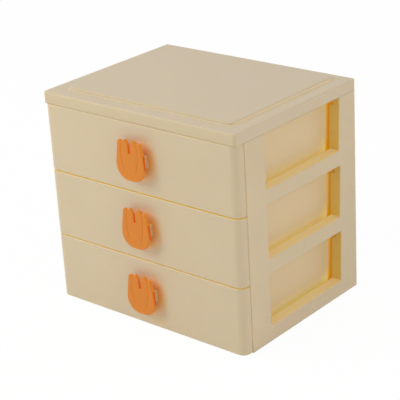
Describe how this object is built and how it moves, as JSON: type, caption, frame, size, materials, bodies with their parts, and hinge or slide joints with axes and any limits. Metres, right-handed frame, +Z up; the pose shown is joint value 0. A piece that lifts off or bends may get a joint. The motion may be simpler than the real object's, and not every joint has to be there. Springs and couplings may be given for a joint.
{
  "type": "desktop mini drawers",
  "caption": "Small desktop chest of stacked sliding drawers with overlay fronts, tulip-shaped pulls, open side windows and a raised cover panel.",
  "frame": {"origin": "on the ground, at the centre of the footprint with the pulls counted in", "axes": "+X to the right along the drawer fronts, +Y to the back, +Z up; the drawers pull out along -Y"},
  "size_m": [0.175, 0.1424, 0.1627],
  "materials": {
    "case_cream": "satin moulded plastic, cream",
    "drawer_cream": "satin moulded plastic, cream",
    "pull_orange": "satin moulded plastic, orange"
  },
  "bodies": {
    "case": {"top_cover": "case_cream", "side_frame_left": "case_cream", "side_frame_right": "case_cream", "back_panel": "case_cream", "base_panel": "case_cream", "shelf_lower": "case_cream", "shelf_upper": "case_cream"},
    "drawer_bottom": {"drawer_tray_bottom": "drawer_cream", "drawer_front_bottom": "drawer_cream", "tulip_pull_bottom": "pull_orange"},
    "drawer_middle": {"drawer_tray_middle": "drawer_cream", "drawer_front_middle": "drawer_cream", "tulip_pull_middle": "pull_orange"},
    "drawer_top": {"drawer_tray_top": "drawer_cream", "drawer_front_top": "drawer_cream", "tulip_pull_top": "pull_orange"}
  },
  "joints": [
    {"name": "drawer_bottom_slide", "type": "slide", "parent": "case", "child": "drawer_bottom", "axis": [0, -1, 0], "range_m": [0, 0.1]},
    {"name": "drawer_middle_slide", "type": "slide", "parent": "case", "child": "drawer_middle", "axis": [0, -1, 0], "range_m": [0, 0.1]},
    {"name": "drawer_top_slide", "type": "slide", "parent": "case", "child": "drawer_top", "axis": [0, -1, 0], "range_m": [0, 0.1]}
  ]
}
